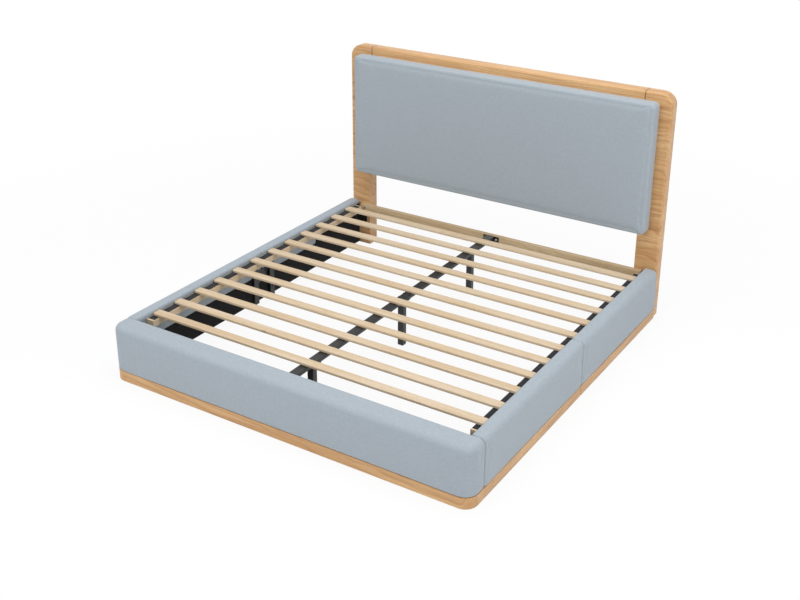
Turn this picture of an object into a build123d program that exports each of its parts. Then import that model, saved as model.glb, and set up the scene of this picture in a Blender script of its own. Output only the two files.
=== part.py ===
from build123d import *
import os

# Upholstered king bed: padded footboard, padded side rails in two halves each, and an ash headboard
# frame with a padded panel. Twelve slats lie on pine ledges and on a steel centre beam.
# Millimetres. X runs to the right seen from the foot, Y from foot to head, Z up from the floor.
# The origin is on the floor, under the middle of the whole bed.

os.makedirs("parts", exist_ok=True)

# The mattress and the room left round it
mattress_width = 1930
mattress_length = 2032
side_room = 32
end_room = 46

# The padded frame
rail_thickness = 73
foot_thickness = 118
frame_height = 315
cover_thickness = 2
foam_thickness = 10
lip_width = 11
seam_gap = 0.6
rail_top_radius = 28
rail_inner_radius = 10
rail_head_radius = 35
rail_heel_radius = 20
heel_lap = 4
foot_corner_radius = 65
foot_top_radius = 34
foot_back_radius = 8

# Boards, battens and plinth inside and under the padding
board_thickness = 18
back_board_thickness = 12
batten_height = 40
batten_lap = 40
stud_width = 95
block_width = 40
block_count = 5
block_clearance = 0.3
floor_gap = 4
lining_thickness = 2
plinth_height = 61
plinth_edge_radius = 5
plinth_notch_radius = 8
cut_margin = 1

# The headboard
headboard_inset = 10
headboard_height = 1347
post_width = 138
post_depth = 82
post_corner_radius = 75
post_edge_radius = 14
inner_edge_radius = 2.5
corner_arm = 22
seam_chamfer = 1.2
top_rail_height = 100
lower_rail_height = 100
lower_rail_depth = 40
lower_rail_lift = 13
panel_side_margin = 70
panel_bottom = 527
top_margin = 48
panel_corner_radius = 30
panel_edge_radius = 18
panel_foam_thickness = 59
panel_board_thickness = 15
cross_rail_depth = 28
cross_rail_height = 50
cross_rail_inset = 22
cross_rail_lift = 1

# Slats and what they lie on
slat_count = 12
slat_width = 52
slat_thickness = 16
slat_drop = 12
slat_end_gap = 2
slat_corner_radius = 8
slat_edge_radius = 4.5
first_slat_distance = 145
last_slat_distance = 162
tape_thickness = 1.5
tape_margin = 2
ledge_width = 54
ledge_height = 38
ledge_edge_radius = 2
ledge_foot_gap = 75
ledge_head_gap = 56
tape_foot_gap = 12
lip_gap = 0.3

# Steel beam, legs and brackets
beam_width = 50
beam_height = 20
tube_wall = 1.5
tube_corner_radius = 2.5
beam_end_gap = 1
sleeve_length = 120
sleeve_clearance = 0.3
plate_thickness = 3
leg_size = 35
leg_plate_length = 90
front_leg_distance = 186
middle_leg_offset = 22
rear_leg_distance = 290
leg_cap_thickness = 3
leg_plug_height = 12
side_leg_width = 40
side_leg_depth = 20
side_leg_offset = 74
beam_bracket_width = 106
beam_bracket_height = 40
beam_shelf_length = 60
bracket_leg = 60
bracket_height = 100
bracket_head_room = 8
joint_plate_length = 100
joint_plate_height = 80
ledge_room = 46

# Fasteners
bolt_radius = 3
bolt_head_radius = 6
bolt_head_height = 3
bolt_clearance = 0.2
bolt_bite = 30
bolt_stop = 2
short_bolt_reach = 7
sleeve_bolt_offset = 26
sleeve_bolt_spacing = 35
leg_bolt_spacing = 60
bracket_bolt_spacing = 74
bracket_bolt_lift = 4
cross_bolt_inset = 25
cross_bolt_recess = 6
corner_bolt_spacing = 50
joint_bolt_spacing = 60
joint_bolt_rise = 40
side_leg_bolt_low = 60
screw_radius = 2
screw_head_radius = 4.5
screw_side_distance = 268
screw_count = 5
screw_bite = 12
counterbore_clearance = 3
dowel_radius = 5
dowel_length = 40
dowel_spacing = 45

# Places across the bed, as distances from the middle
half_inner = mattress_width / 2 + side_room
half_width = half_inner + rail_thickness
half_head = half_width - headboard_inset
half_panel = half_head - panel_side_margin
post_inner = half_head - post_width
head_seam = post_inner - corner_arm
plinth_thickness = cover_thickness + foam_thickness + board_thickness
board_face = half_width - cover_thickness - foam_thickness
batten_face = half_width - plinth_thickness
lining_face = half_inner + lip_width
ledge_face = lining_face - lining_thickness
ledge_edge = ledge_face - ledge_width
batten_reach = batten_face - bolt_stop - ledge_face

# Places along the bed
inner_length = mattress_length + end_room
panel_thickness = cover_thickness + panel_foam_thickness + panel_board_thickness
overall_length = foot_thickness + inner_length + post_depth
foot_front = -overall_length / 2
foot_back = foot_front + foot_thickness
post_front = foot_back + inner_length
post_back = post_front + post_depth
panel_front = post_front - panel_thickness
cross_rail_front = post_front - cross_rail_depth
rail_seam = (foot_back + post_front) / 2
ledge_start = foot_back + ledge_foot_gap
ledge_end = post_front - ledge_head_gap

# Heights
slat_top = frame_height - slat_drop
slat_bottom = slat_top - slat_thickness
ledge_top = slat_bottom - 2 * tape_thickness
ledge_bottom = ledge_top - ledge_height
lip_bottom = ledge_top + lip_gap
board_top = frame_height - cover_thickness - foam_thickness
beam_bottom = slat_bottom - beam_height
plate_bottom = beam_bottom - plate_thickness
cross_rail_top = slat_bottom + cross_rail_lift
cross_rail_bottom = cross_rail_top - cross_rail_height
bracket_top = cross_rail_bottom - bracket_head_room
bracket_bottom = bracket_top - bracket_height
joint_plate_top = ledge_bottom - ledge_room
joint_plate_bottom = joint_plate_top - joint_plate_height
panel_top = headboard_height - top_margin
top_rail_bottom = headboard_height - top_rail_height
lower_rail_bottom = panel_bottom + lower_rail_lift
lower_rail_top = lower_rail_bottom + lower_rail_height


# Basic shapes

def face_of(corners):
    """A flat outline from (across, up, radius) corners."""
    points = [corner[:2] for corner in corners]
    radii = [corner[2] for corner in corners]
    return make_face(FilletPolyline(*points, radius=radii, close=True))


def along_x(corners, start, end):
    """An outline of (y, z, radius) corners drawn out along X."""
    return extrude(Plane.YZ.offset(start) * face_of(corners), end - start)


def along_y(corners, start, end):
    """An outline of (x, z, radius) corners drawn out along Y."""
    return extrude(Plane.XZ.offset(-end) * face_of(corners), end - start)


def along_z(corners, start, end):
    """An outline of (x, y, radius) corners drawn out along Z."""
    return extrude(Plane.XY.offset(start) * face_of(corners), end - start)


def block(x0, x1, y0, y1, z0, z1):
    """A box given by its lowest and highest corners."""
    centre = Pos((x0 + x1) / 2, (y0 + y1) / 2, (z0 + z1) / 2)
    return centre * Box(x1 - x0, y1 - y0, z1 - z0)


def rod(seat, direction, length, radius):
    """A round rod from a point along a direction."""
    return Plane(origin=seat, z_dir=direction) * Pos(0, 0, length / 2) * Cylinder(radius, length)


def left(piece):
    """The left-hand copy of a right-hand piece."""
    return mirror(piece, about=Plane.YZ)


def both(pieces):
    """Right-hand pieces with their left-hand copies."""
    return [*pieces, *[left(piece) for piece in pieces]]


def save(name, *pieces):
    """Write one node, with each of its pieces as a separate solid."""
    solids = [solid for piece in pieces for solid in piece.solids()]
    export_step(Compound(solids), f"parts/{name}.step")


# Fasteners: each is a seat under the head, a direction and a reach

def bolt(seat, direction, reach):
    """A bolt with a round head."""
    back = Vector(*direction) * -1
    head = rod(seat, back, bolt_head_height, bolt_head_radius)
    return head + rod(seat, direction, reach, bolt_radius)


def bolt_hole(seat, direction, reach):
    """The hole that the bolt passes through."""
    return rod(seat, direction, reach, bolt_radius + bolt_clearance)


def corner_bolts():
    """Bolts through the four corner brackets, right-hand side."""
    seats = []
    middle = (bracket_bottom + bracket_top) / 2
    inward = ledge_face - plate_thickness
    side_reach = plate_thickness + batten_reach
    foot_reach = plate_thickness + cover_thickness + back_board_thickness
    for z in (middle - corner_bolt_spacing / 2, middle + corner_bolt_spacing / 2):
        seats.append(((inward, foot_back + bracket_leg / 2, z), (1, 0, 0), side_reach))
        seats.append(((inward, post_front - bracket_leg / 2, z), (1, 0, 0), side_reach))
        across = ledge_face - bracket_leg / 2 - plate_thickness
        seats.append(((across, foot_back + plate_thickness, z), (0, -1, 0), foot_reach))
        seats.append(((across, post_front - plate_thickness, z), (0, 1, 0), bolt_bite))
    return seats


def joint_bolts():
    """Bolts through the plate that joins the two halves of the right-hand rail."""
    inward = ledge_face - plate_thickness
    middle = (joint_plate_bottom + joint_plate_top) / 2
    reach = plate_thickness + batten_reach
    return [
        ((inward, rail_seam + along * joint_bolt_spacing / 2, middle + up * joint_bolt_rise / 2),
         (1, 0, 0), reach)
        for along in (-1, 1)
        for up in (-1, 1)
    ]


def side_leg_bolts():
    """Bolts through the two legs at the middle of the right-hand rail."""
    inward = ledge_face - side_leg_depth
    reach = side_leg_depth + batten_reach
    return [
        ((inward, rail_seam + along * side_leg_offset, z), (1, 0, 0), reach)
        for along in (-1, 1)
        for z in (side_leg_bolt_low, joint_plate_top)
    ]


def cross_rail_bolt():
    """The bolt that holds the right-hand end of the pine cross rail to its post."""
    seat = (post_inner + cross_bolt_inset, cross_rail_front + cross_bolt_recess,
            (cross_rail_bottom + cross_rail_top) / 2)
    return (seat, (0, 1, 0), cross_rail_depth - cross_bolt_recess + bolt_bite)


def sleeve_bolts():
    """Two pairs of short bolts from above, one pair in each length of the beam."""
    return [
        ((across * sleeve_bolt_spacing / 2, rail_seam + along * sleeve_bolt_offset, slat_bottom),
         (0, 0, -1), short_bolt_reach)
        for across in (-1, 1)
        for along in (-1, 1)
    ]


def leg_places():
    """Where the three centre legs stand, along the bed."""
    return {
        "front": foot_back + front_leg_distance,
        "middle": rail_seam - middle_leg_offset,
        "rear": post_front - rear_leg_distance,
    }


def under_beam_bolts():
    """Short bolts from below, through the leg plates and the beam brackets into the beam."""
    places = []
    for y in leg_places().values():
        places += [y - leg_bolt_spacing / 2, y + leg_bolt_spacing / 2]
    places.append(foot_back + beam_shelf_length / 2)
    places.append(cross_rail_front - beam_shelf_length / 2)
    return [((0, y, plate_bottom), (0, 0, 1), short_bolt_reach) for y in places]


def bracket_bolts():
    """The bright bolts of the two beam brackets."""
    z = plate_bottom + bracket_bolt_lift
    head_reach = plate_thickness + cross_rail_depth / 2
    foot_reach = plate_thickness + cover_thickness + back_board_thickness
    seats = []
    for x in (-bracket_bolt_spacing / 2, bracket_bolt_spacing / 2):
        seats.append(((x, cross_rail_front - plate_thickness, z), (0, 1, 0), head_reach))
        seats.append(((x, foot_back + plate_thickness, z), (0, -1, 0), foot_reach))
    return seats


def holes(seats):
    """The holes for a list of bolts."""
    return [bolt_hole(*seat) for seat in seats]


def mirrored_holes(seats):
    """The same holes on the left-hand side."""
    return [left(bolt_hole(*seat)) for seat in seats]


# Headboard

def eased(piece, end):
    """Ease the upper and side edges of an end face, so that the joint there shows as a fine line."""
    face = piece.faces().sort_by(Axis.X)[end]
    return chamfer(face.edges().sort_by(Axis.Z)[1:], seam_chamfer)


def head_post():
    """Right-hand ash post with its rounded top corner, as far as the seam in the top rail."""
    outline = [
        (post_inner, 0, 0),
        (half_head, 0, 0),
        (half_head, headboard_height, post_corner_radius),
        (head_seam, headboard_height, 0),
        (head_seam, top_rail_bottom, 0),
        (post_inner, top_rail_bottom, 0),
    ]
    post = along_y(outline, post_front, post_back)
    uprights = post.edges().filter_by(Axis.Z).sort_by(Axis.X)
    post = fillet(uprights[-2:], post_edge_radius)
    middle = (post_inner + half_head) / 2
    inner = [edge for edge in post.edges().filter_by(Axis.Z)
             if edge.center().X < middle and edge.center().Z < top_rail_bottom]
    post = fillet(inner, inner_edge_radius)
    post = eased(post, 0)
    seats = [seat for seat in corner_bolts() if seat[0][1] > 0] + [cross_rail_bolt()]
    return post - holes(seats) - [dowel_hole(*place) for place in dowel_places()]


def dowel_places():
    """Dowel centres in the right-hand ends of the two headboard rails."""
    middle = (post_front + post_back) / 2
    lower_middle = post_front + lower_rail_depth / 2
    rows = [
        (head_seam, middle, (top_rail_bottom + headboard_height) / 2),
        (post_inner, lower_middle, (lower_rail_bottom + lower_rail_top) / 2),
    ]
    return [(x, y, z + up * dowel_spacing / 2) for x, y, z in rows for up in (-1, 1)]


def dowel(x, y, z):
    """A wooden dowel across a joint."""
    return rod((x - dowel_length / 2, y, z), (1, 0, 0), dowel_length, dowel_radius)


def dowel_hole(x, y, z):
    """The hole that the dowel is glued into."""
    start = x - dowel_length / 2 - bolt_clearance
    length = dowel_length + 2 * bolt_clearance
    return rod((start, y, z), (1, 0, 0), length, dowel_radius + bolt_clearance)


def panel_screw_places():
    """Screw centres across the back of the headboard, in both rails."""
    last = half_panel - screw_side_distance
    step = 2 * last / (screw_count - 1)
    columns = [i * step - last for i in range(screw_count)]
    rows = ((lower_rail_bottom + lower_rail_top) / 2, (top_rail_bottom + panel_top) / 2)
    return [(x, post_front + lower_rail_depth, z) for x in columns for z in rows]


def panel_screw(x, y, z):
    """A screw from the back of a rail into the panel board."""
    reach = lower_rail_depth + screw_bite
    head = rod((x, y, z), (0, 1, 0), bolt_head_height, screw_head_radius)
    return head + rod((x, y, z), (0, -1, 0), reach, screw_radius)


def panel_screw_hole(x, y, z):
    """The screw's hole, with a wide bore behind its head where the rail is deeper."""
    reach = lower_rail_depth + screw_bite
    bore = rod((x, y, z), (0, 1, 0), post_depth, screw_head_radius + counterbore_clearance)
    return bore + rod((x, y, z), (0, -1, 0), reach, screw_radius + bolt_clearance)


def head_rail(half_length, y_back, z0, z1, top_radius):
    """An ash rail of the headboard frame."""
    rail = block(-half_length, half_length, post_front, y_back, z0, z1)
    long_edges = rail.edges().filter_by(Axis.X).group_by(Axis.Z)
    rail = eased(eased(fillet(long_edges[-1], top_radius), 0), -1)
    dowels = [dowel_hole(*place) for place in dowel_places()]
    screws = [panel_screw_hole(*place) for place in panel_screw_places()]
    return rail - dowels - [left(hole) for hole in dowels] - screws


def panel_body(inset):
    """The whole padded panel, or what lies a given depth under its cover."""
    across = half_panel - inset
    low = panel_bottom + inset
    high = panel_top - inset
    radius = panel_corner_radius - inset
    outline = [(-across, low, radius), (across, low, radius),
               (across, high, radius), (-across, high, radius)]
    body = along_y(outline, panel_front + inset, post_front)
    front = body.faces().sort_by(Axis.Y)[0]
    return fillet(front.edges(), panel_edge_radius - inset)


def head_panel():
    """Cover, foam and board of the padded panel."""
    whole = panel_body(0)
    filling = panel_body(cover_thickness)
    split = post_front - panel_board_thickness
    half = block(-half_width, half_width, split, post_front, 0, headboard_height)
    board = (filling & half) - [panel_screw_hole(*place) for place in panel_screw_places()]
    return whole - filling, filling - half, board


def cross_rail():
    """Pine rail across the fronts of the posts, which carries the head end of the beam."""
    across = half_inner - cross_rail_inset
    rail = block(-across, across, cross_rail_front, post_front,
                 cross_rail_bottom, cross_rail_top)
    rail = fillet(rail.edges().filter_by(Axis.X), ledge_edge_radius)
    seat, direction, reach = cross_rail_bolt()
    mouth = (seat[0], cross_rail_front, seat[2])
    recess = rod(mouth, direction, cross_bolt_recess, bolt_head_radius + bolt_clearance)
    end_hole = recess + bolt_hole(seat, direction, reach)
    beam_holes = holes([seat for seat in bracket_bolts() if seat[0][1] > 0])
    return rail - end_hole - left(end_hole) - beam_holes


def make_headboard():
    """All the nodes of the headboard."""
    post = head_post()
    save("head_post_right", post)
    save("head_post_left", left(post))
    save("head_top_rail",
         head_rail(head_seam, post_back, top_rail_bottom, headboard_height, post_edge_radius))
    save("head_lower_rail",
         head_rail(post_inner, post_front + lower_rail_depth, lower_rail_bottom,
                   lower_rail_top, inner_edge_radius))
    cover, foam, board = head_panel()
    save("head_panel_cover", cover)
    save("head_panel_foam", foam)
    save("head_panel_board", board)
    save("head_back_lining",
         block(-post_inner, post_inner, post_front, post_front + lining_thickness,
               lower_rail_top, top_rail_bottom))
    save("head_cross_rail", cross_rail())
    save("head_panel_screws", *[panel_screw(*place) for place in panel_screw_places()])
    save("head_dowels", *both([dowel(*place) for place in dowel_places()]))


# Footboard

def foot_outline(inset, back):
    """The footboard in plan, a given depth under its outer face."""
    across = half_width - inset
    front = foot_front + inset
    radius = foot_corner_radius - inset
    return [(-across, front, radius), (across, front, radius), (across, back, 0), (-across, back, 0)]


def foot_body(inset):
    """The padded footboard above its plinth, or what lies a given depth under its cover."""
    back = foot_back - min(inset, cover_thickness)
    body = along_z(foot_outline(inset, back), plinth_height, frame_height - inset)
    rim = body.faces().sort_by(Axis.Z)[-1].edges().sort_by(Axis.Y)
    body = fillet(rim[:-1], foot_top_radius - inset)
    if inset < foot_back_radius:
        top = body.faces().sort_by(Axis.Z)[-1]
        body = fillet(top.edges().sort_by(Axis.Y)[-1], foot_back_radius - inset)
    return body


def foot_plinth():
    """Ash plinth round the front and both ends of the footboard."""
    whole = along_z(foot_outline(0, foot_back), 0, plinth_height)
    low = whole.faces().sort_by(Axis.Z)[0].edges().sort_by(Axis.Y)
    whole = fillet(low[:-1], plinth_edge_radius)
    core = foot_outline(plinth_thickness, foot_back + cut_margin)
    return whole - along_z(core, -cut_margin, plinth_height + cut_margin)


def foot_spacer(core, x, front_face, back_face):
    """An upright block between the front and back boards, from the floor gap to the padding."""
    near = x - block_width / 2
    far = x + block_width / 2
    upper = core & block(near, far, front_face, back_face, 0, frame_height)
    return upper + block(near, far, front_face, back_face, floor_gap, plinth_height)


def make_footboard():
    """All the nodes of the footboard."""
    whole = foot_body(0)
    filling = foot_body(cover_thickness)
    frame = foot_body(cover_thickness + foam_thickness)
    inside = foot_back - cover_thickness
    back_face = inside - back_board_thickness
    front_face = foot_front + plinth_thickness
    tangent = half_width - foot_corner_radius
    bolts = [seat for seat in corner_bolts() + bracket_bolts() if seat[0][1] < 0]
    bored = holes(bolts) + mirrored_holes(bolts)

    opening = block(-batten_face, batten_face, inside, foot_back, plinth_height, lip_bottom)
    lining = block(-batten_face, batten_face, inside, foot_back, floor_gap, lip_bottom)
    front_board = frame & block(-tangent, tangent, foot_front, front_face, 0, frame_height)
    upper_back = frame & block(-half_width, half_width, back_face, inside, 0, frame_height)
    lower_back = block(-batten_face, batten_face, back_face, inside, floor_gap, plinth_height)
    core = foot_body(cover_thickness + foam_thickness + block_clearance)
    end_block = core & block(tangent, half_width, foot_front, back_face, 0, frame_height)
    step = 2 * tangent / (block_count + 1)
    middles = [(i + 1) * step - tangent for i in range(block_count)]
    spacers = [foot_spacer(core, x, front_face, back_face) for x in middles]

    save("foot_cover", whole - filling - opening)
    save("foot_foam", filling - frame)
    save("foot_front_board", front_board)
    save("foot_back_board", upper_back + lower_back - bored)
    save("foot_blocks", *both([end_block]), *spacers)
    save("foot_lining", lining - bored)
    save("foot_plinth", foot_plinth())


# Side rails, drawn on the right-hand side and copied to the left

def skin_outline(inset):
    """Section of the padded rail, a given depth under its cover, with the lip inside its top."""
    outer = half_width - inset
    inner = half_inner + inset
    top = frame_height - inset
    lip = lip_bottom + inset
    return [
        (outer, plinth_height, 0),
        (outer, top, rail_top_radius - inset),
        (inner, top, rail_inner_radius - inset),
        (inner, lip, 0),
        (lining_face, lip, 0),
        (lining_face, plinth_height, 0),
    ]


def frame_outline():
    """Section of the wooden frame inside the rail's padding."""
    return [
        (board_face, plinth_height, 0),
        (board_face, board_top, rail_top_radius - cover_thickness - foam_thickness),
        (lining_face, board_top, 0),
        (lining_face, plinth_height, 0),
    ]


def rail_ends(half, inset, end_inset):
    """Where one half of a rail starts and ends, a given depth under its cover."""
    start, end = {"front": (foot_back, rail_seam), "rear": (rail_seam, post_front)}[half]
    return start + seam_gap / 2 + inset, end - seam_gap / 2 - end_inset


def rail_body(half, outline, inset, end_inset):
    """One half of a rail, rounded at the headboard's end, a given depth under its cover."""
    start, end = rail_ends(half, inset, end_inset)
    top = max(corner[1] for corner in outline)
    if half == "front":
        foot = [(end, plinth_height, 0)]
        head_radius = 0
    elif inset == 0:
        foot = [(end, plinth_height, rail_heel_radius)]
        head_radius = rail_head_radius
    else:
        turn = end + end_inset - rail_heel_radius - heel_lap
        low = plinth_height + end_inset
        foot = [(turn, plinth_height, 0), (turn, low, 0), (end, low, rail_heel_radius - end_inset)]
        head_radius = rail_head_radius - end_inset
    side = [(start, plinth_height, 0), *foot, (end, top, head_radius), (start, top, 0)]
    return along_y(outline, start, end) & along_x(side, half_inner, half_width)


def rail_plinth(half):
    """Ash plinth under one half of a rail."""
    start, end = rail_ends(half, 0, 0)
    side = [
        (start, 0, plinth_notch_radius),
        (end, 0, plinth_notch_radius),
        (end, plinth_height, 0),
        (start, plinth_height, 0),
    ]
    plinth = along_x(side, batten_face, half_width)
    outer = plinth.faces().sort_by(Axis.X)[-1].edges().sort_by(Axis.Z)
    return fillet(outer[:-1], plinth_edge_radius)


def rail_battens(half, frame, end_inset, bored):
    """Upper and lower battens of one half of a rail, and the studs at its two ends."""
    start, end = rail_ends(half, cover_thickness, end_inset)
    low_end = end - rail_heel_radius if half == "rear" else end
    low_top = plinth_height + batten_lap
    high = board_top - batten_height
    upper = frame & block(lining_face, batten_face, start, end, high, board_top)
    lower = block(lining_face, batten_face, start, low_end, floor_gap, low_top)
    studs = [
        block(lining_face, batten_face, y, y + stud_width, low_top, high)
        for y in (start, end - stud_width)
    ]
    return [piece - bored for piece in (upper, lower, *studs)]


def make_rails():
    """All the nodes of the side rails."""
    bolts = corner_bolts() + joint_bolts() + side_leg_bolts()
    bored = holes(bolts)
    boards, foams, battens, linings, tapes = [], [], [], [], []
    ledges = []
    tape_top = ledge_top + tape_thickness
    for half in ("front", "rear"):
        end_inset = cover_thickness + foam_thickness if half == "rear" else cover_thickness
        whole = rail_body(half, skin_outline(0), 0, 0)
        filling = rail_body(half, skin_outline(cover_thickness), cover_thickness, cover_thickness)
        frame = rail_body(half, frame_outline(), cover_thickness, end_inset)
        start, end = rail_ends(half, 0, 0)
        cover = whole - filling
        plinth = rail_plinth(half)
        foams.append(filling - frame)
        boards.append(frame & block(batten_face, half_width, start, end, 0, frame_height))
        battens += rail_battens(half, frame, end_inset, bored)
        linings.append(block(ledge_face, lining_face, start, end, floor_gap, lip_bottom) - bored)
        start = max(start, ledge_start)
        end = min(end, ledge_end)
        ledge = block(ledge_edge, ledge_face, start, end, ledge_bottom, ledge_top)
        ledges.append(fillet(ledge.edges().filter_by(Axis.Y), ledge_edge_radius))
        tape_start = max(start, ledge_start + tape_foot_gap)
        tape_end = min(end, ledge_end - tape_foot_gap)
        tapes.append(block(ledge_edge + tape_margin, half_inner - slat_end_gap,
                           tape_start, tape_end, ledge_top, tape_top))
        save(f"rail_cover_right_{half}", cover)
        save(f"rail_cover_left_{half}", left(cover))
        save(f"rail_plinth_right_{half}", plinth)
        save(f"rail_plinth_left_{half}", left(plinth))
    save("rail_boards", *both(boards))
    save("rail_foams", *both(foams))
    save("rail_battens", *both(battens))
    save("rail_linings", *both(linings))
    save("rail_ledges_right", *ledges)
    save("rail_ledges_left", *[left(ledge) for ledge in ledges])
    save("hook_tapes", *both(tapes))


# Slats

def slat(y):
    """One pine slat with rounded ends and edges."""
    across = half_inner - slat_end_gap
    near = y - slat_width / 2
    far = y + slat_width / 2
    outline = [(-across, near, slat_corner_radius), (across, near, slat_corner_radius),
               (across, far, slat_corner_radius), (-across, far, slat_corner_radius)]
    plank = along_z(outline, slat_bottom, slat_top)
    flat = plank.faces().sort_by(Axis.Z)
    return fillet(flat[0].edges() + flat[-1].edges(), slat_edge_radius)


def loop_pad(y):
    """The strip of loop tape under the right-hand end of a slat."""
    end = half_inner - slat_end_gap - slat_corner_radius
    half = slat_width / 2 - slat_edge_radius
    return block(ledge_edge + tape_margin, end, y - half, y + half,
                 slat_bottom - tape_thickness, slat_bottom)


def make_slats():
    """Twelve slats, evenly spaced, each with a pad under both ends."""
    first = foot_back + first_slat_distance
    last = post_front - last_slat_distance
    pitch = (last - first) / (slat_count - 1)
    places = [first + i * pitch for i in range(slat_count)]
    for number, y in enumerate(places, 1):
        save(f"slat_{number:02d}", slat(y))
    save("loop_pads", *both([loop_pad(y) for y in places]))


# Steel beam, legs and brackets

def tube_face(width, depth):
    """Section of a thin rectangular tube."""
    bore = RectangleRounded(width - 2 * tube_wall, depth - 2 * tube_wall,
                            tube_corner_radius - tube_wall)
    return RectangleRounded(width, depth, tube_corner_radius) - bore


def level_tube(width, height, start, end):
    """A tube along the bed, at the height of the centre beam."""
    middle = slat_bottom - beam_height / 2
    return extrude(Plane.XZ.offset(-end) * Pos(0, middle) * tube_face(width, height), end - start)


def upright_tube(x, y, width, depth, top):
    """A tube that stands on its floor cap."""
    section = Plane.XY.offset(leg_cap_thickness) * Pos(x, y) * tube_face(width, depth)
    return extrude(section, top - leg_cap_thickness)


def leg_cap(x, y, width, depth):
    """Plastic cap under a leg, with a plug inside the tube."""
    shrink = 2 * (tube_wall + sleeve_clearance)
    pad = extrude(Pos(x, y) * RectangleRounded(width, depth, tube_corner_radius), leg_cap_thickness)
    plug = block(x - (width - shrink) / 2, x + (width - shrink) / 2,
                 y - (depth - shrink) / 2, y + (depth - shrink) / 2,
                 leg_cap_thickness, leg_cap_thickness + leg_plug_height)
    return pad + plug


def centre_leg(y):
    """A square leg with the plate that is bolted under the beam."""
    plate = block(-beam_width / 2, beam_width / 2, y - leg_plate_length / 2,
                  y + leg_plate_length / 2, plate_bottom, beam_bottom)
    return upright_tube(0, y, leg_size, leg_size, plate_bottom) + plate


def beam_bracket(face, reach):
    """Plate against a cross member, with a shelf under the end of the beam."""
    forward = plate_thickness if reach > 0 else -plate_thickness
    half = beam_bracket_height / 2
    plate = block(-beam_bracket_width / 2, beam_bracket_width / 2, min(face, face + forward),
                  max(face, face + forward), plate_bottom - half, plate_bottom + half)
    shelf = block(-beam_width / 2, beam_width / 2, min(face, face + reach),
                  max(face, face + reach), plate_bottom, beam_bottom)
    return plate + shelf


def corner_bracket(face, reach):
    """Angle plate between a right-hand rail and the footboard or the post."""
    forward = plate_thickness if reach > 0 else -plate_thickness
    along = block(ledge_face - plate_thickness, ledge_face, min(face, face + reach),
                  max(face, face + reach), bracket_bottom, bracket_top)
    across = block(ledge_face - bracket_leg, ledge_face, min(face, face + forward),
                   max(face, face + forward), bracket_bottom, bracket_top)
    return along + across - holes(corner_bolts())


def joint_plate():
    """Flat plate across the middle joint of the right-hand rail."""
    half = joint_plate_length / 2
    plate = block(ledge_face - plate_thickness, ledge_face, rail_seam - half, rail_seam + half,
                  joint_plate_bottom, joint_plate_top)
    return plate - holes(joint_bolts())


def make_steel():
    """Beam, sleeve, legs, brackets and every bolt."""
    beam_start = foot_back + plate_thickness + beam_end_gap
    beam_end = cross_rail_front - plate_thickness - beam_end_gap
    bored = holes(sleeve_bolts() + under_beam_bolts())
    shrink = 2 * (tube_wall + sleeve_clearance)
    half = sleeve_length / 2
    save("centre_beam_front",
         level_tube(beam_width, beam_height, beam_start, rail_seam - seam_gap / 2) - bored)
    save("centre_beam_rear",
         level_tube(beam_width, beam_height, rail_seam + seam_gap / 2, beam_end) - bored)
    save("beam_sleeve",
         level_tube(beam_width - shrink, beam_height - shrink, rail_seam - half,
                    rail_seam + half) - bored)
    bracket_holes = bored + holes(bracket_bolts())
    save("beam_foot_bracket", beam_bracket(foot_back, beam_shelf_length) - bracket_holes)
    save("beam_head_bracket", beam_bracket(cross_rail_front, -beam_shelf_length) - bracket_holes)

    side_x = ledge_face - side_leg_depth / 2
    side_places = [rail_seam - side_leg_offset, rail_seam + side_leg_offset]
    side_holes = holes(side_leg_bolts())
    side_legs = [
        upright_tube(side_x, y, side_leg_depth, side_leg_width, ledge_bottom) - side_holes
        for y in side_places
    ]
    side_caps = [leg_cap(side_x, y, side_leg_depth, side_leg_width) for y in side_places]
    for name, y in leg_places().items():
        save(f"centre_leg_{name}", centre_leg(y) - bored)
    centre_caps = [leg_cap(0, y, leg_size, leg_size) for y in leg_places().values()]
    save("side_legs", *both(side_legs))
    save("leg_caps", *centre_caps, *both(side_caps))

    corners = [corner_bracket(foot_back, bracket_leg), corner_bracket(post_front, -bracket_leg)]
    save("corner_brackets", *both(corners))
    save("rail_joint_plates", *both([joint_plate()]))
    sided = corner_bolts() + joint_bolts() + side_leg_bolts() + [cross_rail_bolt()]
    middle = sleeve_bolts() + under_beam_bolts()
    save("bolts", *both([bolt(*seat) for seat in sided]), *[bolt(*seat) for seat in middle])
    save("bracket_bolts", *[bolt(*seat) for seat in bracket_bolts()])


make_headboard()
make_footboard()
make_rails()
make_slats()
make_steel()
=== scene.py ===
import math

import bpy
from mathutils import Matrix, Vector


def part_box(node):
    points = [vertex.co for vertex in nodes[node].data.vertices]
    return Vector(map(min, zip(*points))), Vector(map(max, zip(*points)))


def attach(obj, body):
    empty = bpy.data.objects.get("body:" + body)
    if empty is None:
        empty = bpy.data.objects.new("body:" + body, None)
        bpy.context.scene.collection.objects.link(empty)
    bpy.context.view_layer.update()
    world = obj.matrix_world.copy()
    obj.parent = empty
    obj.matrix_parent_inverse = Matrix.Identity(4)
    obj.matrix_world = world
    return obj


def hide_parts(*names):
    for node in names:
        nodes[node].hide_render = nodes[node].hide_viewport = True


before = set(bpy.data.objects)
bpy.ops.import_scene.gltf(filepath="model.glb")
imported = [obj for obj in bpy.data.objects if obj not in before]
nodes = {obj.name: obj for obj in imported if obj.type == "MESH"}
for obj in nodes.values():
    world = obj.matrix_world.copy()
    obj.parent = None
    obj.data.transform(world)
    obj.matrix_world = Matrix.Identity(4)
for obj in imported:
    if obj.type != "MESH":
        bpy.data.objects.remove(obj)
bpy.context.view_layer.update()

# Upholstered king bed in metres: X to the right seen from the foot, Y from foot to head, Z up.

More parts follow.
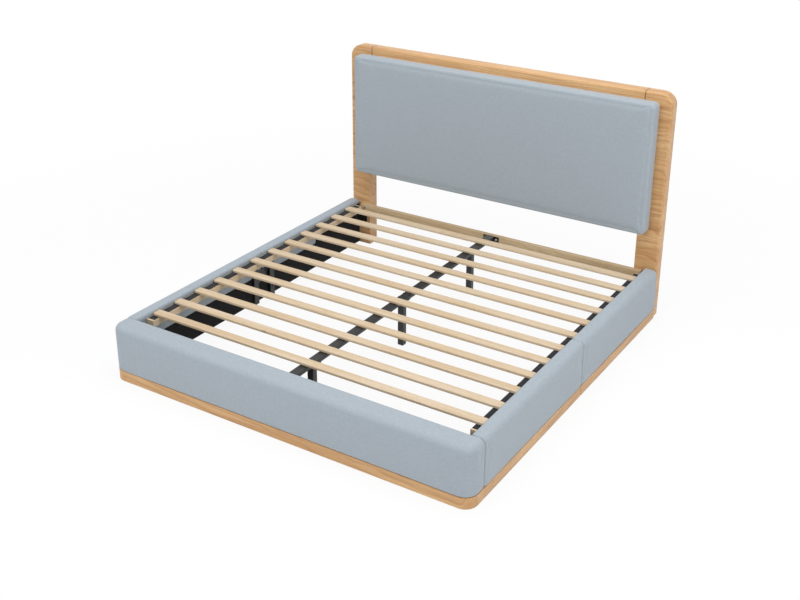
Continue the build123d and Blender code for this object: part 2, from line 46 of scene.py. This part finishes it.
# Camera, found from the edges of the bed in the picture
picture_width = 800
focal_length_pixels = 1139.8
sensor_width = 36
eye = (2.990, -4.763, 3.060)
camera_yaw = 0.5634
camera_pitch = 0.3905
camera_roll = 0.0047
camera_shift = -0.1

# Padding: the size of the remeshed faces, the cloth under pressure, radii, and how far each may swell
remesh_size = 0.0065
cloth_pressure = 4
cloth_frames = 20
lining_gap = 0.0005
foot_corner_radius = 0.065
foot_top_radius = 0.034
foot_back_radius = 0.008
rail_top_radius = 0.028
rail_inner_radius = 0.010
rail_head_radius = 0.035
rail_heel_radius = 0.020
seam_radius = 0.006
panel_corner_radius = 0.030
panel_edge_radius = 0.018
foot_swell = 0.004
rail_swell = 0.004
panel_swell = 0.006

# Wood: a quarter turn for boards along the side, and the joints between posts and head rails, which get a
# painted shadow line
quarter = math.pi / 2
head_seam = 0.9
seam_core = 0.001
seam_edge = 0.0045

# Studio
floor_size = 40
lamp_size = 3.5
top_lamp_size = 5.0
room_light = 0.55


# Colours as they are seen, 0 to 255, turned into the numbers that materials take

def seen(red, green, blue):
    """A colour as an RGBA value for a socket."""
    parts = [value / 255 for value in (red, green, blue)]
    linear = [part / 12.92 if part <= 0.04045 else ((part + 0.055) / 1.055) ** 2.4 for part in parts]
    return (*linear, 1)


# Node helpers

def link(tree, source, target):
    """Join an output to an input."""
    tree.links.new(source, target)


def math_node(tree, operation, first, second=None, third=None):
    """A math node whose inputs are numbers or sockets; gives its output."""
    node = tree.nodes.new("ShaderNodeMath")
    node.operation = operation
    for socket, value in zip(node.inputs, (first, second, third)):
        if value is None:
            continue
        if isinstance(value, (int, float)):
            socket.default_value = value
        else:
            link(tree, value, socket)
    return node.outputs[0]


def scaled(tree, vector, scale, rotation=(0, 0, 0)):
    """A vector scaled and turned by a Mapping node."""
    node = tree.nodes.new("ShaderNodeMapping")
    node.inputs["Scale"].default_value = scale
    node.inputs["Rotation"].default_value = rotation
    link(tree, vector, node.inputs["Vector"])
    return node.outputs["Vector"]


def noise(tree, vector, scale, detail=2.0, roughness=0.5, distortion=0.0):
    """Noise from 0 to 1."""
    node = tree.nodes.new("ShaderNodeTexNoise")
    node.inputs["Scale"].default_value = scale
    node.inputs["Detail"].default_value = detail
    node.inputs["Roughness"].default_value = roughness
    node.inputs["Distortion"].default_value = distortion
    link(tree, vector, node.inputs["Vector"])
    return node.outputs["Fac"]


def ranged(tree, value, low, high, to_low=0.0, to_high=1.0):
    """A value mapped smoothly from one range to another."""
    node = tree.nodes.new("ShaderNodeMapRange")
    node.interpolation_type = "SMOOTHSTEP"
    node.inputs["From Min"].default_value = low
    node.inputs["From Max"].default_value = high
    node.inputs["To Min"].default_value = to_low
    node.inputs["To Max"].default_value = to_high
    link(tree, value, node.inputs["Value"])
    return node.outputs["Result"]


def mixed(tree, amount, first, second):
    """Two colours mixed by an amount."""
    node = tree.nodes.new("ShaderNodeMix")
    node.data_type = "RGBA"
    link(tree, amount, node.inputs["Factor"])
    for socket, value in zip((node.inputs[6], node.inputs[7]), (first, second)):
        if isinstance(value, tuple):
            socket.default_value = value
        else:
            link(tree, value, socket)
    return node.outputs[2]


def split(tree, vector):
    """The three parts of a vector."""
    node = tree.nodes.new("ShaderNodeSeparateXYZ")
    link(tree, vector, node.inputs[0])
    return node.outputs


def new_group(name, inputs, outputs):
    """An empty node group with float inputs and outputs, and a vector input called Place."""
    group = bpy.data.node_groups.new(name, "ShaderNodeTree")
    group.interface.new_socket("Place", in_out="INPUT", socket_type="NodeSocketVector")
    for title, value in inputs.items():
        socket = group.interface.new_socket(title, in_out="INPUT", socket_type="NodeSocketFloat")
        socket.default_value = value
    for title in outputs:
        group.interface.new_socket(title, in_out="OUTPUT", socket_type="NodeSocketFloat")
    into = group.nodes.new("NodeGroupInput")
    out = group.nodes.new("NodeGroupOutput")
    return group, into.outputs, out.inputs


def placed(tree, group, vector, **values):
    """A node group in a material, with its own values."""
    node = tree.nodes.new("ShaderNodeGroup")
    node.node_tree = group
    link(tree, vector, node.inputs["Place"])
    for title, value in values.items():
        node.inputs[title.replace("_", " ")].default_value = value
    return node.outputs


def wood_figure():
    """Growth rings, tone and pores of a board whose grain runs along X."""
    group, given, out = new_group(
        "wood figure",
        {"Ring Spacing": 0.012, "Waver": 1.2, "Heart": 0.25, "Slope": 0.04},
        ("Rings", "Tone", "Pores", "Knots", "Streaks"),
    )
    place = given["Place"]
    x, y, z = split(group, place)
    slow = scaled(group, place, (0.9, 3.5, 3.5))
    drift = noise(group, slow, 1.6, detail=2, roughness=0.45, distortion=0.3)
    ripple = noise(group, scaled(group, place, (5, 14, 14)), 1.0, detail=3, roughness=0.55)
    side = math_node(group, "ADD", z, given["Heart"])
    depth = math_node(group, "ADD", y, given["Heart"])
    squares = math_node(group, "ADD", math_node(group, "MULTIPLY", side, side),
                        math_node(group, "MULTIPLY", depth, depth))
    radius = math_node(group, "SQRT", squares)
    leaned = math_node(group, "MULTIPLY_ADD", x, given["Slope"], radius)
    turns = math_node(group, "DIVIDE", leaned, given["Ring Spacing"])
    wandering = math_node(group, "MULTIPLY_ADD", math_node(group, "SUBTRACT", drift, 0.5),
                          math_node(group, "MULTIPLY", given["Waver"], 6.0), turns)
    fretted = math_node(group, "MULTIPLY_ADD", math_node(group, "SUBTRACT", ripple, 0.5),
                        given["Waver"], wandering)
    ring = math_node(group, "FRACT", fretted)
    early = math_node(group, "POWER", math_node(group, "SUBTRACT", 1.0, ring), 3.0)
    edge = ranged(group, ring, 0.0, 0.10)
    rings = math_node(group, "MULTIPLY", early, edge)
    link(group, rings, out["Rings"])
    tone = noise(group, scaled(group, place, (1.5, 9, 9)), 1.3, detail=3, roughness=0.5)
    link(group, ranged(group, tone, 0.3, 0.7), out["Tone"])
    fibre = noise(group, scaled(group, place, (28, 620, 620)), 1.0, detail=2, roughness=0.6)
    link(group, ranged(group, fibre, 0.52, 0.72), out["Pores"])
    streak = noise(group, scaled(group, place, (1.6, 55, 55)), 1.0, detail=4, roughness=0.6, distortion=0.2)
    link(group, ranged(group, streak, 0.48, 0.72), out["Streaks"])
    spots = group.nodes.new("ShaderNodeTexVoronoi")
    spots.inputs["Scale"].default_value = 2.4
    link(group, scaled(group, place, (1.0, 2.2, 2.2)), spots.inputs["Vector"])
    link(group, ranged(group, spots.outputs["Distance"], 0.0, 0.06, 1.0, 0.0), out["Knots"])
    return group


def woven_cloth():
    """Threads of a plain weave on faces that look along any axis, with slubs and soft mottling."""
    group, given, out = new_group(
        "woven cloth",
        {"Thread": 0.0016, "Mottle Scale": 22.0},
        ("Weave", "Slubs", "Mottle"),
    )
    place = given["Place"]
    turn = math_node(group, "DIVIDE", math.tau, given["Thread"])
    waves = [math_node(group, "SINE", math_node(group, "MULTIPLY", part, turn))
             for part in split(group, place)]
    surface = group.nodes.new("ShaderNodeNewGeometry")
    facing = [math_node(group, "POWER", math_node(group, "ABSOLUTE", part), 4.0)
              for part in split(group, surface.outputs["Normal"])]
    pairs = [(1, 2), (0, 2), (0, 1)]
    crossed = [math_node(group, "MULTIPLY", waves[first], waves[second]) for first, second in pairs]
    weighted = [math_node(group, "MULTIPLY", one, two) for one, two in zip(crossed, facing)]
    total = math_node(group, "ADD", math_node(group, "ADD", weighted[0], weighted[1]), weighted[2])
    link(group, math_node(group, "MULTIPLY_ADD", total, 0.5, 0.5), out["Weave"])
    level = noise(group, scaled(group, place, (60, 60, 700)), 1.0, detail=1)
    upright = noise(group, scaled(group, place, (700, 700, 60)), 1.0, detail=1)
    link(group, math_node(group, "MULTIPLY", math_node(group, "ADD", level, upright), 0.5), out["Slubs"])
    node = group.nodes.new("ShaderNodeTexNoise")
    node.inputs["Detail"].default_value = 5
    node.inputs["Roughness"].default_value = 0.6
    link(group, place, node.inputs["Vector"])
    link(group, given["Mottle Scale"], node.inputs["Scale"])
    link(group, node.outputs["Fac"], out["Mottle"])
    return group


def fine_speckle():
    """Small bumps and a slow cloudiness, for coats and moulded plastic."""
    group, given, out = new_group("fine speckle", {"Grain": 900.0}, ("Speckle", "Cloud"))
    place = given["Place"]
    node = group.nodes.new("ShaderNodeTexNoise")
    node.inputs["Detail"].default_value = 2
    link(group, place, node.inputs["Vector"])
    link(group, given["Grain"], node.inputs["Scale"])
    link(group, node.outputs["Fac"], out["Speckle"])
    link(group, noise(group, place, 14, detail=3), out["Cloud"])
    return group


WOOD = wood_figure()
CLOTH = woven_cloth()
SPECKLE = fine_speckle()


def new_material(name, roughness, metallic=0.0, specular=0.5, sheen=0.0, coat=0.0):
    """A material: its node tree, its shader, and the object's own coordinates."""
    material = bpy.data.materials.new(name)
    material.use_nodes = True
    tree = material.node_tree
    shader = tree.nodes["Principled BSDF"]
    shader.inputs["Roughness"].default_value = roughness
    shader.inputs["Metallic"].default_value = metallic
    shader.inputs["Specular IOR Level"].default_value = specular
    shader.inputs["Sheen Weight"].default_value = sheen
    shader.inputs["Sheen Roughness"].default_value = 0.5
    shader.inputs["Coat Weight"].default_value = coat
    shader.inputs["Coat Roughness"].default_value = 0.35
    place = tree.nodes.new("ShaderNodeTexCoord").outputs["Object"]
    return material, tree, shader, place


def bump(tree, shader, height, strength, distance):
    """Fine relief from a height between 0 and 1."""
    node = tree.nodes.new("ShaderNodeBump")
    node.inputs["Strength"].default_value = strength
    node.inputs["Distance"].default_value = distance
    link(tree, height, node.inputs["Height"])
    link(tree, node.outputs["Normal"], shader.inputs["Normal"])


def wood_material(name, pale, middle, dark, pore, turned=(0, 0, 0), ring_depth=0.6, knot_depth=0.0,
                  streak_depth=0.4, seam=None, roughness=0.5, coat=0.0, **figure):
    """A board with its grain along X, or turned, and a painted shadow line at a seam on both sides of the
    middle.
    """
    material, tree, shader, given = new_material(name, roughness, specular=0.35, coat=coat)
    place = scaled(tree, given, (1, 1, 1), turned)
    lines = placed(tree, WOOD, place, **figure)
    colour = mixed(tree, lines["Tone"], pale, middle)
    colour = mixed(tree, math_node(tree, "MULTIPLY", lines["Rings"], ring_depth), colour, dark)
    colour = mixed(tree, math_node(tree, "MULTIPLY", lines["Streaks"], streak_depth), colour, dark)
    colour = mixed(tree, math_node(tree, "MULTIPLY", lines["Pores"], 0.35), colour, pore)
    colour = mixed(tree, math_node(tree, "MULTIPLY", lines["Knots"], knot_depth), colour, pore)
    # Painted shade: a thin dark line at the seam stands in for the shadow in the joint
    if seam:
        across = math_node(tree, "ABSOLUTE", split(tree, given)[0])
        away = math_node(tree, "ABSOLUTE", math_node(tree, "SUBTRACT", across, seam))
        seam_shadow_mask = ranged(tree, away, seam_core, seam_edge, 0.85, 0.0)
        colour = mixed(tree, seam_shadow_mask, colour, painted_seam_shadow)
    link(tree, colour, shader.inputs["Base Color"])
    dull = math_node(tree, "MULTIPLY_ADD", lines["Pores"], 0.15, roughness)
    link(tree, dull, shader.inputs["Roughness"])
    relief = math_node(tree, "MULTIPLY_ADD", lines["Rings"], 0.4, lines["Pores"])
    bump(tree, shader, math_node(tree, "SUBTRACT", 1.0, relief), 0.25, 0.0003)
    return material


def cloth_material(name, colour, lighter, roughness=0.9, sheen=0.25, thread=0.0016, mottle=22.0,
                   weave_depth=0.35, relief=0.0004):
    """A plain woven cloth."""
    material, tree, shader, place = new_material(name, roughness, specular=0.2, sheen=sheen)
    threads = placed(tree, CLOTH, place, Thread=thread, Mottle_Scale=mottle)
    tone = math_node(tree, "MULTIPLY", threads["Weave"], weave_depth)
    tone = math_node(tree, "MULTIPLY_ADD", threads["Slubs"], 0.5, tone)
    tone = math_node(tree, "MULTIPLY_ADD", threads["Mottle"], 0.7, tone)
    link(tree, mixed(tree, ranged(tree, tone, 0.4, 1.15), colour, lighter), shader.inputs["Base Color"])
    height = math_node(tree, "MULTIPLY_ADD", threads["Slubs"], 0.6, threads["Weave"])
    bump(tree, shader, height, 0.35, relief)
    return material


def coated_material(name, colour, worn, roughness, metallic=0.0, grain=900.0, relief=0.0002):
    """Powder-coated or plain steel, or moulded plastic."""
    material, tree, shader, place = new_material(name, roughness, metallic=metallic)
    marks = placed(tree, SPECKLE, place, Grain=grain)
    link(tree, mixed(tree, ranged(tree, marks["Cloud"], 0.35, 0.75), colour, worn),
         shader.inputs["Base Color"])
    shine = math_node(tree, "MULTIPLY_ADD", marks["Cloud"], 0.15, roughness - 0.07)
    link(tree, shine, shader.inputs["Roughness"])
    bump(tree, shader, marks["Speckle"], 0.3, relief)
    return material


# The brown of the painted shadow line in the joints of the head
painted_seam_shadow = seen(96, 62, 36)
ash_colours = (seen(217, 176, 124), seen(200, 154, 101), seen(160, 108, 62), seen(146, 98, 58))
pine_colours = (seen(212, 194, 168), seen(204, 182, 150), seen(184, 154, 116), seen(150, 116, 80))
fresh_pine_colours = (seen(204, 182, 146), seen(190, 166, 128), seen(168, 138, 98), seen(140, 106, 70))

ash_along = wood_material("ash, grain along", *ash_colours, Ring_Spacing=0.011, Waver=0.8,
                          Heart=0.21, Slope=0.02, coat=0.4, seam=head_seam)
ash_across = wood_material("ash, grain across", *ash_colours, Ring_Spacing=0.019, Waver=1.1,
                           Heart=0.0, Slope=0.0, coat=0.4, knot_depth=0.6, ring_depth=0.7,
                           streak_depth=0.6, seam=head_seam)
ash_foot = wood_material("ash, grain along the foot", *ash_colours, Ring_Spacing=0.011, Waver=0.8,
                         Heart=0.21, Slope=0.02, coat=0.4)
ash_side = wood_material("ash, grain along the side", *ash_colours, turned=(0, 0, quarter),
                         Ring_Spacing=0.011, Waver=0.8, Heart=0.21, Slope=0.02, coat=0.4)
pine_slat = wood_material("pine slat", *pine_colours, Ring_Spacing=0.009, Waver=0.9, Heart=0.3,
                          Slope=0.015, ring_depth=0.35, knot_depth=0.7, roughness=0.6)
pine_side = wood_material("pine ledge", *pine_colours, turned=(0, 0, quarter), Ring_Spacing=0.008,
                          Waver=0.9, Heart=0.3, Slope=0.015, ring_depth=0.45, roughness=0.6)
pine_rail = wood_material("pine cross rail", *fresh_pine_colours, Ring_Spacing=0.010, Waver=1.0,
                          Heart=0.2, Slope=0.02, ring_depth=0.5, knot_depth=0.9, roughness=0.6)
plywood = wood_material("plywood", seen(214, 186, 146), seen(200, 168, 124), seen(170, 132, 90),
                        seen(150, 112, 74), Ring_Spacing=0.02, Waver=1.5, Heart=0.5, Slope=0.03,
                        roughness=0.7)
blue_grey = cloth_material("blue-grey cloth", seen(151, 160, 167), seen(168, 178, 185), mottle=110)
black_lining = cloth_material("black lining", seen(14, 14, 15), seen(26, 26, 27), sheen=0.05,
                              thread=0.0012, mottle=60)
hook_tape = cloth_material("hook tape", seen(16, 16, 17), seen(44, 44, 47), sheen=0.1, thread=0.0022,
                           mottle=90, weave_depth=0.6, relief=0.0008)
cream_foam = cloth_material("cream foam", seen(232, 226, 206), seen(242, 238, 222), sheen=0,
                            thread=0.003, mottle=200)
black_steel = coated_material("black powder coat", seen(16, 16, 17), seen(26, 26, 28), 0.42)
black_plastic = coated_material("black plastic", seen(18, 18, 18), seen(28, 28, 28), 0.6, grain=500)
zinc_steel = coated_material("zinc-plated steel", seen(190, 190, 188), seen(160, 160, 158), 0.3,
                             metallic=1.0)


# The CAD nodes and what each is made of

def finish_nodes():
    """Give every CAD node its material."""
    finishes = {
        ash_across: ["head_post_left", "head_post_right"],
        ash_along: ["head_top_rail", "head_lower_rail"],
        ash_foot: ["foot_plinth"],
        ash_side: [name for name in nodes if name.startswith("rail_plinth")],
        pine_slat: [name for name in nodes if name.startswith("slat_")],
        pine_side: ["rail_ledges_left", "rail_ledges_right", "rail_battens"],
        pine_rail: ["head_cross_rail", "foot_blocks", "head_dowels"],
        plywood: ["head_panel_board", "foot_front_board", "foot_back_board", "rail_boards"],
        blue_grey: ["foot_cover", "head_panel_cover"]
        + [name for name in nodes if name.startswith("rail_cover")],
        cream_foam: ["foot_foam", "rail_foams", "head_panel_foam"],
        black_lining: ["head_back_lining", "foot_lining", "rail_linings"],
        hook_tape: ["hook_tapes", "loop_pads"],
        black_steel: ["centre_beam_front", "centre_beam_rear", "beam_sleeve", "beam_head_bracket",
                      "beam_foot_bracket", "centre_leg_front", "centre_leg_middle", "centre_leg_rear",
                      "side_legs", "corner_brackets", "rail_joint_plates", "bolts"],
        black_plastic: ["leg_caps"],
        zinc_steel: ["head_panel_screws", "bracket_bolts"],
    }
    for material, names in finishes.items():
        for name in names:
            mesh = nodes[name].data
            mesh.materials.clear()
            mesh.materials.append(material)


# Modelling helpers

def alone(piece):
    """Select one object and nothing else."""
    bpy.ops.object.select_all(action="DESELECT")
    piece.select_set(True)
    bpy.context.view_layer.objects.active = piece


def block_between(name, low, high):
    """A block from its lowest to its highest corner, with its place in its mesh."""
    bpy.ops.object.select_all(action="DESELECT")
    bpy.ops.mesh.primitive_cube_add(size=1, location=(Vector(low) + Vector(high)) / 2)
    piece = bpy.context.active_object
    piece.name = name
    piece.scale = Vector(high) - Vector(low)
    bpy.ops.object.transform_apply(location=True, rotation=True, scale=True)
    return piece


def pick(piece, kind, chosen):
    """In edit mode, select the edges or faces whose middle and corners pass a test."""
    bpy.ops.object.mode_set(mode="EDIT")
    bpy.ops.mesh.select_mode(type=kind)
    bpy.ops.mesh.select_all(action="DESELECT")
    bpy.ops.object.mode_set(mode="OBJECT")
    mesh = piece.data
    items = mesh.edges if kind == "EDGE" else mesh.polygons
    for item in items:
        item.select = chosen([mesh.vertices[i].co for i in item.vertices])
    bpy.ops.object.mode_set(mode="EDIT")


def rounded(piece, chosen, radius, segments):
    """Round the edges that pass a test."""
    pick(piece, "EDGE", chosen)
    bpy.ops.mesh.bevel(offset=radius, offset_type="OFFSET", segments=segments, affect="EDGES",
                       clamp_overlap=False)
    bpy.ops.object.mode_set(mode="OBJECT")


def near(value, target):
    """Whether two places are the same, to a tenth of a millimetre."""
    return abs(value - target) < 0.0001


def all_at(points, axis, target):
    """Whether all points lie in one plane across an axis."""
    return all(near(point[axis], target) for point in points)


def lowest(points):
    """The height of the lowest point."""
    return min(point.z for point in points)


def applied(piece, kind, **settings):
    """Add a modifier, set it and apply it."""
    modifier = piece.modifiers.new(kind.lower(), kind)
    for setting, value in settings.items():
        setattr(modifier, setting, value)
    alone(piece)
    bpy.ops.object.modifier_apply(modifier=modifier.name)


def swollen(piece, held, most):
    """Remesh the form and fill it as cloth under pressure, which moves it outwards up to a cap."""
    applied(piece, "REMESH", mode="VOXEL", voxel_size=remesh_size, use_smooth_shade=True)
    group = piece.vertex_groups.new(name="held")
    group.add([point.index for point in piece.data.vertices if held(point.co)], 1.0, "REPLACE")
    start = [(point.co.copy(), point.normal.copy()) for point in piece.data.vertices]
    cloth = piece.modifiers.new("cloth", "CLOTH")
    cloth.settings.quality = 5
    cloth.settings.mass = 0.3
    cloth.settings.tension_stiffness = 12
    cloth.settings.compression_stiffness = 12
    cloth.settings.shear_stiffness = 4
    cloth.settings.bending_stiffness = 0.4
    cloth.settings.use_pressure = True
    cloth.settings.uniform_pressure_force = cloth_pressure
    cloth.settings.vertex_group_mass = "held"
    cloth.settings.effector_weights.gravity = 0
    cloth.point_cache.frame_start = 1
    cloth.point_cache.frame_end = cloth_frames
    for step in range(1, cloth_frames + 1):
        bpy.context.scene.frame_set(step)
    alone(piece)
    bpy.ops.object.modifier_apply(modifier="cloth")
    bpy.context.scene.frame_set(1)
    for point, (first, outward) in zip(piece.data.vertices, start):
        move = point.co - first
        move -= outward * min(move.dot(outward), 0)
        if move.length > most:
            move *= most / move.length
        point.co = first + move
    piece.vertex_groups.clear()


def dressed(piece, material, fill, *replaced):
    """Smooth the padded piece, give it its cloth, and let it stand for its CAD nodes."""
    applied(piece, "SUBSURF", levels=1, render_levels=1)
    for face in piece.data.polygons:
        face.use_smooth = True
    piece.data.materials.clear()
    piece.data.materials.append(material)
    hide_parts(*replaced)
    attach(piece, "root")


def make_foot_padding():
    """The padded footboard: round in plan at both ends, and round over its top."""
    low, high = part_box("foot_cover")
    piece = block_between("foot_padding", low, high)
    rounded(piece, lambda ends: all_at(ends, 1, low.y) and abs(ends[0].z - ends[1].z) > 0.1,
            foot_corner_radius, 14)
    rounded(piece, lambda ends: all_at(ends, 2, high.z) and not all_at(ends, 1, high.y),
            foot_top_radius, 8)
    rounded(piece, lambda ends: all_at(ends, 2, high.z) and all_at(ends, 1, high.y),
            foot_back_radius, 3)
    seat = low.z + remesh_size
    back = high.y - remesh_size
    swollen(piece, lambda point: point.z < seat or point.y > back, foot_swell)

    # Behind the lining the foam ends just short of it
    lining_low, lining_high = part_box("foot_lining")
    for point in piece.data.vertices:
        within = abs(point.co.x) < lining_high.x and point.co.z < lining_high.z
        if within and point.co.y > lining_low.y:
            point.co.y = lining_low.y - lining_gap
    dressed(piece, blue_grey, 0.9, "foot_cover", "foot_foam")


def rail_form(half):
    """The right-hand rail half before it swells, with the lip over the inner side of the rail."""
    low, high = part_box(f"rail_cover_right_{half}")
    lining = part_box("rail_linings")[1]
    piece = block_between(f"rail_padding_right_{half}", (lining.x, low.y, low.z), high)
    top = high.z
    outer = high.x
    if half == "rear":
        for height, radius, segments in ((top, rail_head_radius, 8), (low.z, rail_heel_radius, 6)):
            rounded(piece, lambda ends: all_at(ends, 1, high.y) and all_at(ends, 2, height),
                    radius, segments)
    rounded(piece, lambda ends: all_at(ends, 0, outer) and lowest(ends) > top - rail_head_radius
            and not near(ends[0].y, ends[1].y), rail_top_radius, 8)
    bpy.ops.object.mode_set(mode="EDIT")
    bpy.ops.mesh.select_all(action="SELECT")
    bpy.ops.mesh.bisect(plane_co=(0, 0, lining.z), plane_no=(0, 0, 1))
    bpy.ops.object.mode_set(mode="OBJECT")
    pick(piece, "FACE", lambda ends: all_at(ends, 0, lining.x) and lowest(ends) > lining.z - 0.001)
    bpy.ops.mesh.extrude_region_move(TRANSFORM_OT_translate={"value": (low.x - lining.x, 0, 0)})
    bpy.ops.object.mode_set(mode="OBJECT")
    rounded(piece, lambda ends: all_at(ends, 0, low.x) and lowest(ends) > lining.z + 0.001
            and not near(ends[0].y, ends[1].y), rail_inner_radius, 4)
    for end in (low.y, high.y):
        rounded(piece, lambda ends: all_at(ends, 1, end) and not all_at(ends, 2, low.z)
                and not all_at(ends, 2, lining.z), seam_radius, 2)
    return piece


def make_rail_paddings():
    """Both halves of the right-hand rail, and their mirrored copies on the left."""
    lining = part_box("rail_linings")[1]
    for half in ("front", "rear"):
        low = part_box(f"rail_cover_right_{half}")[0]
        piece = rail_form(half)
        seat = low.z + remesh_size
        inner = lining.x + remesh_size
        swollen(piece, lambda point: point.z < seat or (point.x < inner and point.z < lining.z),
                rail_swell)
        alone(piece)
        bpy.ops.object.duplicate()
        copy = bpy.context.active_object
        copy.name = f"rail_padding_left_{half}"
        copy.scale = (-1, 1, 1)
        bpy.ops.object.transform_apply(location=True, rotation=True, scale=True)
        bpy.ops.object.mode_set(mode="EDIT")
        bpy.ops.mesh.select_all(action="SELECT")
        bpy.ops.mesh.normals_make_consistent(inside=False)
        bpy.ops.object.mode_set(mode="OBJECT")
        dressed(piece, blue_grey, 0.9, f"rail_cover_right_{half}", "rail_foams")
        dressed(copy, blue_grey, 0.9, f"rail_cover_left_{half}", "rail_foams")


def make_panel_padding():
    """The padded panel on the headboard, with round corners and a full, soft edge."""
    low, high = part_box("head_panel_cover")
    piece = block_between("head_panel_padding", low, high)
    rounded(piece, lambda ends: abs(ends[0].y - ends[1].y) > 0.01, panel_corner_radius, 10)
    rounded(piece, lambda ends: all_at(ends, 1, low.y), panel_edge_radius, 8)
    back = high.y - remesh_size
    swollen(piece, lambda point: point.y > back, panel_swell)
    dressed(piece, blue_grey, 0.85, "head_panel_cover", "head_panel_foam")


# Studio

def make_camera():
    """The camera of the picture."""
    bpy.ops.object.camera_add()
    camera = bpy.context.active_object
    camera.name = "camera"
    turn = (Matrix.Rotation(camera_yaw, 4, "Z") @ Matrix.Rotation(quarter - camera_pitch, 4, "X")
            @ Matrix.Rotation(camera_roll, 4, "Z"))
    camera.matrix_world = Matrix.Translation(eye) @ turn
    camera.data.sensor_width = sensor_width
    camera.data.lens = sensor_width * focal_length_pixels / picture_width
    camera.data.shift_y = camera_shift
    camera.data.clip_end = 100
    bpy.context.scene.camera = camera


def seen_directly(tree):
    """Light Path mask: camera, mirror and glass rays."""
    path = tree.nodes.new("ShaderNodeLightPath")
    mask = math_node(tree, "ADD", path.outputs["Is Camera Ray"], path.outputs["Is Glossy Ray"])
    mask = math_node(tree, "ADD", mask, path.outputs["Is Transmission Ray"])
    return math_node(tree, "MINIMUM", mask, 1.0)


def make_floor():
    """A pale floor that shows white and keeps a faint shadow near the bed."""
    bpy.ops.object.select_all(action="DESELECT")
    bpy.ops.mesh.primitive_plane_add(size=floor_size)
    floor = bpy.context.active_object
    floor.name = "floor"
    material = bpy.data.materials.new("pale floor")
    material.use_nodes = True
    tree = material.node_tree
    shader = tree.nodes["Principled BSDF"]
    shader.inputs["Base Color"].default_value = seen(236, 236, 236)
    shader.inputs["Roughness"].default_value = 0.9
    shader.inputs["Specular IOR Level"].default_value = 0.0
    glow = tree.nodes.new("ShaderNodeEmission")
    glow.inputs["Strength"].default_value = 1.0
    blend = tree.nodes.new("ShaderNodeMixShader")
    place = tree.nodes.new("ShaderNodeTexCoord").outputs["Object"]
    distance = tree.nodes.new("ShaderNodeVectorMath")
    distance.operation = "LENGTH"
    link(tree, place, distance.inputs[0])
    share = ranged(tree, distance.outputs["Value"], 1.5, 5.0, 0.9, 1.0)
    link(tree, math_node(tree, "MULTIPLY", seen_directly(tree), share), blend.inputs["Fac"])
    link(tree, shader.outputs["BSDF"], blend.inputs[1])
    link(tree, glow.outputs["Emission"], blend.inputs[2])
    link(tree, blend.outputs["Shader"], tree.nodes["Material Output"].inputs["Surface"])
    floor.data.materials.append(material)


def make_world():
    """Even light from all round, and a white background."""
    world = bpy.data.worlds.new("studio")
    bpy.context.scene.world = world
    world.use_nodes = True
    tree = world.node_tree
    around = tree.nodes["Background"]
    around.inputs["Color"].default_value = seen(250, 251, 255)
    around.inputs["Strength"].default_value = room_light
    white = tree.nodes.new("ShaderNodeBackground")
    white.inputs["Strength"].default_value = 1.0
    white.inputs["Color"].default_value = (1, 1, 1, 1)
    blend = tree.nodes.new("ShaderNodeMixShader")
    link(tree, seen_directly(tree), blend.inputs["Fac"])
    link(tree, around.outputs["Background"], blend.inputs[1])
    link(tree, white.outputs["Background"], blend.inputs[2])
    link(tree, blend.outputs["Shader"], tree.nodes["World Output"].inputs["Surface"])


def make_lamp(name, place, aim, size, power):
    """A large soft lamp that looks at a point."""
    bpy.ops.object.light_add(type="AREA", location=place)
    lamp = bpy.context.active_object
    lamp.name = name
    lamp.data.shape = "SQUARE"
    lamp.data.size = size
    lamp.data.energy = power
    direction = Vector(aim) - Vector(place)
    lamp.rotation_euler = direction.to_track_quat("-Z", "Y").to_euler()


def make_studio():
    """Floor, world, lamps and the camera."""
    make_floor()
    make_world()
    make_lamp("top lamp", (0.5, -0.5, 5.5), (0, 0, 0), top_lamp_size, 196)
    make_lamp("front lamp", (-1.0, -6.0, 3.2), (0, 0, 0.4), lamp_size, 98)
    make_lamp("side lamp", (6.0, -0.5, 3.0), (0, 0, 0.3), lamp_size, 84)
    bpy.context.scene.view_settings.view_transform = "Standard"
    make_camera()


finish_nodes()
make_foot_padding()
make_rail_paddings()
make_panel_padding()
make_studio()
